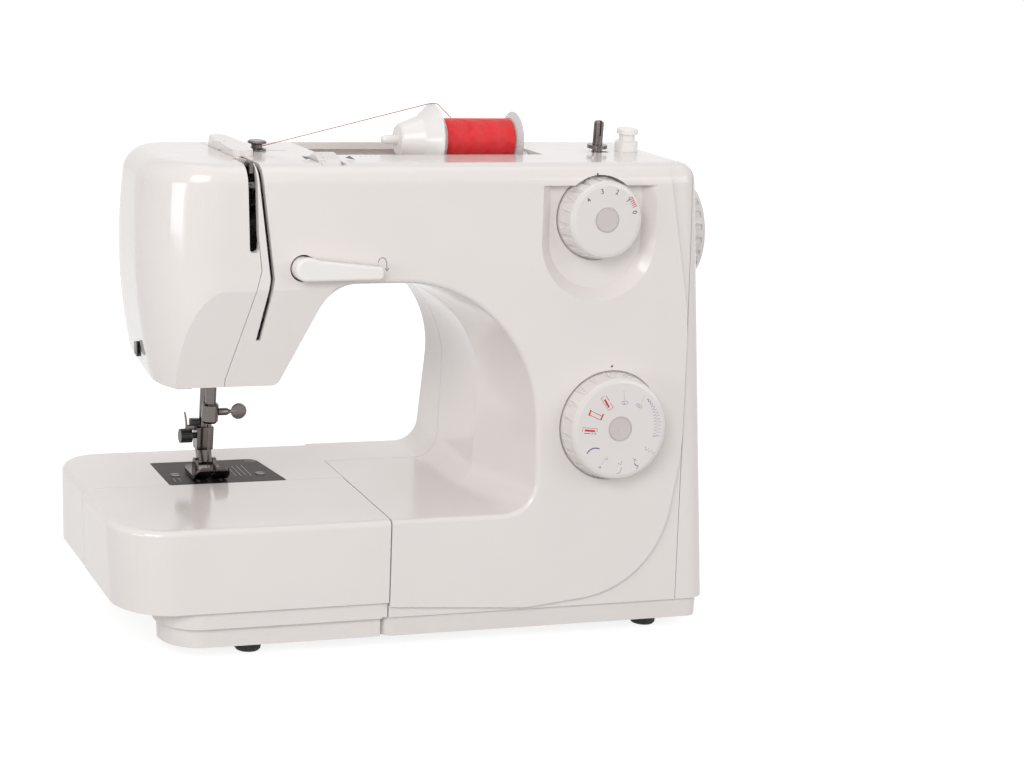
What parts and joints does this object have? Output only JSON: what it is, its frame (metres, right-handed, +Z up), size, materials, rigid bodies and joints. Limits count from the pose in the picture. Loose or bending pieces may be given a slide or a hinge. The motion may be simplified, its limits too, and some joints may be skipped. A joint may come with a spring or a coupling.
{
  "type": "sewing machine",
  "caption": "Compact free-arm sewing machine with a slide-off extension table, dials on the column, a handwheel, needle and presser foot, a spool on top and the drive inside.",
  "frame": {"origin": "middle of the object's box, on the table under its feet", "axes": "+X towards the handwheel end, +Y towards the back, +Z up"},
  "size_m": [0.3702, 0.1794, 0.3042],
  "materials": {
    "white_casing": "glossy moulded plastic",
    "white_dial": "glossy moulded plastic",
    "grey_plastic": "moulded plastic",
    "black_plastic": "moulded plastic",
    "black_rubber": "moulded rubber",
    "bright_steel": "bright plated steel",
    "plain_steel": "ground steel",
    "plate_steel": "brushed steel plate",
    "frame_alloy": "die casting",
    "motor_can": "painted steel",
    "clear_spool": "translucent plastic",
    "red_thread": "wound thread",
    "lamp_glass": "clear glass"
  },
  "bodies": {
    "base": {"face_cover": "white_casing", "front_cover": "white_casing", "rear_cover": "white_casing", "end_cover": "white_casing", "base_plate": "white_casing", "free_arm_floor": "white_casing", "needle_plate": "plate_steel", "plate_screws": "bright_steel", "base_feet": "black_rubber", "main_frame": "frame_alloy", "motor": "motor_can", "drive_belt": "black_rubber", "shuttle_race": "plain_steel", "bobbin_case": "bright_steel", "tension_discs": "plain_steel", "bobbin_stop": "white_dial", "spool_pin": "white_dial", "thread_guide": "white_casing", "guide_stud": "bright_steel", "power_inlet": "black_plastic", "thread_cutter": "black_plastic", "cover_screws": "bright_steel", "lamp": "lamp_glass", "top_thread": "red_thread"},
    "table": {"extension_table": "white_casing", "extension_foot": "black_rubber"},
    "door": {"shuttle_cover": "white_casing"},
    "feed": {"feed_dog": "plate_steel"},
    "handle": {"carrying_handle": "white_casing"},
    "wheel": {"handwheel": "white_dial", "upper_shaft": "plain_steel"},
    "rotor": {"motor_pulley": "plain_steel"},
    "hook": {"shuttle_hook": "plain_steel", "hook_shaft": "plain_steel"},
    "bobbin": {"bobbin": "bright_steel"},
    "needle_set": {"needle_bar": "bright_steel", "needle_clamp": "bright_steel", "clamp_screw": "bright_steel", "needle": "bright_steel", "needle_link": "plain_steel"},
    "presser_set": {"presser_bar": "bright_steel", "foot_holder": "bright_steel", "thumb_screw": "black_plastic", "presser_foot": "bright_steel", "presser_spring": "plain_steel"},
    "lifter": {"presser_lifter": "white_casing"},
    "take_up": {"take_up_lever": "bright_steel"},
    "length_dial": {"stitch_length_dial": "white_dial"},
    "pattern": {"pattern_dial": "white_dial", "pattern_cams": "grey_plastic"},
    "reverse": {"reverse_lever": "white_casing"},
    "tension": {"tension_dial": "white_dial"},
    "winder": {"winder_arm": "grey_plastic"},
    "winder_shaft": {"winder_spindle": "bright_steel", "winder_tyre": "black_rubber"},
    "cap": {"spool_cap": "white_dial"},
    "spool": {"thread_spool": "clear_spool", "spool_thread": "red_thread"},
    "switch": {"power_switch": "black_plastic"}
  },
  "joints": [
    {"name": "table_slide", "type": "slide", "parent": "base", "child": "table", "axis": [-1, 0, 0], "range_m": [0, 0.15]},
    {"name": "door_hinge", "type": "hinge", "parent": "base", "child": "door", "pos_m": [-0.106, 0.0099, 0.038], "axis": [1, 0, 0], "range_deg": [0, 80]},
    {"name": "handle_hinge", "type": "hinge", "parent": "base", "child": "handle", "pos_m": [0, 0.01, 0.27], "axis": [1, 0, 0], "range_deg": [0, 75]},
    {"name": "wheel_spin", "type": "hinge", "parent": "base", "child": "wheel", "pos_m": [0, 0.002, 0.228], "axis": [1, 0, 0], "continuous": true},
    {"name": "motor_spin", "type": "hinge", "parent": "base", "child": "rotor", "pos_m": [0.072, 0.002, 0.062], "axis": [1, 0, 0], "continuous": true},
    {"name": "needle_slide", "type": "slide", "parent": "base", "child": "needle_set", "axis": [0, 0, 1], "range_m": [-0.0175, 0.006]},
    {"name": "take_up_swing", "type": "hinge", "parent": "base", "child": "take_up", "pos_m": [-0.112, -0.01, 0.24], "axis": [1, 0, 0], "range_deg": [-11.5, 33]},
    {"name": "feed_slide", "type": "slide", "parent": "base", "child": "feed", "axis": [0, 1, 0], "range_m": [-0.0018, 0.0007]},
    {"name": "hook_swing", "type": "hinge", "parent": "base", "child": "hook", "pos_m": [-0.106, 0.033, 0.053], "axis": [0, 1, 0], "range_deg": [-150, 52]},
    {"name": "bobbin_spin", "type": "hinge", "parent": "base", "child": "bobbin", "pos_m": [-0.106, 0.033, 0.053], "axis": [0, 1, 0], "continuous": true},
    {"name": "lifter_hinge", "type": "hinge", "parent": "base", "child": "lifter", "pos_m": [-0.112, 0.055, 0.176], "axis": [1, 0, 0], "range_deg": [0, 75.1]},
    {"name": "presser_slide", "type": "slide", "parent": "base", "child": "presser_set", "axis": [0, 0, 1], "range_m": [0, 0.006], "deforming": ["presser_spring"]},
    {"name": "stitch_length_turn", "type": "hinge", "parent": "base", "child": "length_dial", "pos_m": [0.0975, -0.0623, 0.249], "axis": [0, -0.9959, 0.09], "range_deg": [-110, 70]},
    {"name": "pattern_turn", "type": "hinge", "parent": "base", "child": "pattern", "pos_m": [0.1095, -0.07324, 0.128], "axis": [0, -0.9959, 0.09], "continuous": true},
    {"name": "reverse_press", "type": "hinge", "parent": "base", "child": "reverse", "pos_m": [-0.082, -0.06465, 0.223], "axis": [0, 0.9959, -0.09], "range_deg": [0, 14], "stiffness_Nm_per_rad": 0.2, "springref_deg": -14.32},
    {"name": "tension_turn", "type": "hinge", "parent": "base", "child": "tension", "pos_m": [-0.063, -0.036, 0.264], "axis": [1, 0, 0], "range_deg": [-140, 140]},
    {"name": "winder_shift", "type": "slide", "parent": "base", "child": "winder", "axis": [1, 0, 0], "range_m": [0, 0.004]},
    {"name": "winder_spin", "type": "hinge", "parent": "winder", "child": "winder_shaft", "pos_m": [0.12, -0.002, 0.296], "axis": [0, 0, 1], "continuous": true},
    {"name": "cap_slide", "type": "slide", "parent": "base", "child": "cap", "axis": [-1, 0, 0], "range_m": [0, 0.04], "deforming": ["top_thread"]},
    {"name": "spool_spin", "type": "hinge", "parent": "base", "child": "spool", "pos_m": [0, 0.01, 0.2825], "axis": [1, 0, 0], "continuous": true},
    {"name": "switch_rock", "type": "hinge", "parent": "base", "child": "switch", "pos_m": [0.17304, 0.042, 0.072], "axis": [0, 1, 0], "range_deg": [-8, 8]}
  ],
  "couplings": [
    {"joint": "motor_spin", "follows": "wheel_spin", "ratio": 3.8571},
    {"joint": "take_up_swing", "follows": "needle_slide", "rad_per_m": -32.7},
    {"joint": "feed_slide", "follows": "needle_slide", "ratio": 0.1},
    {"joint": "hook_swing", "follows": "needle_slide", "rad_per_m": 148},
    {"joint": "lifter_hinge", "follows": "presser_slide", "rad_per_m": 218.17}
  ]
}
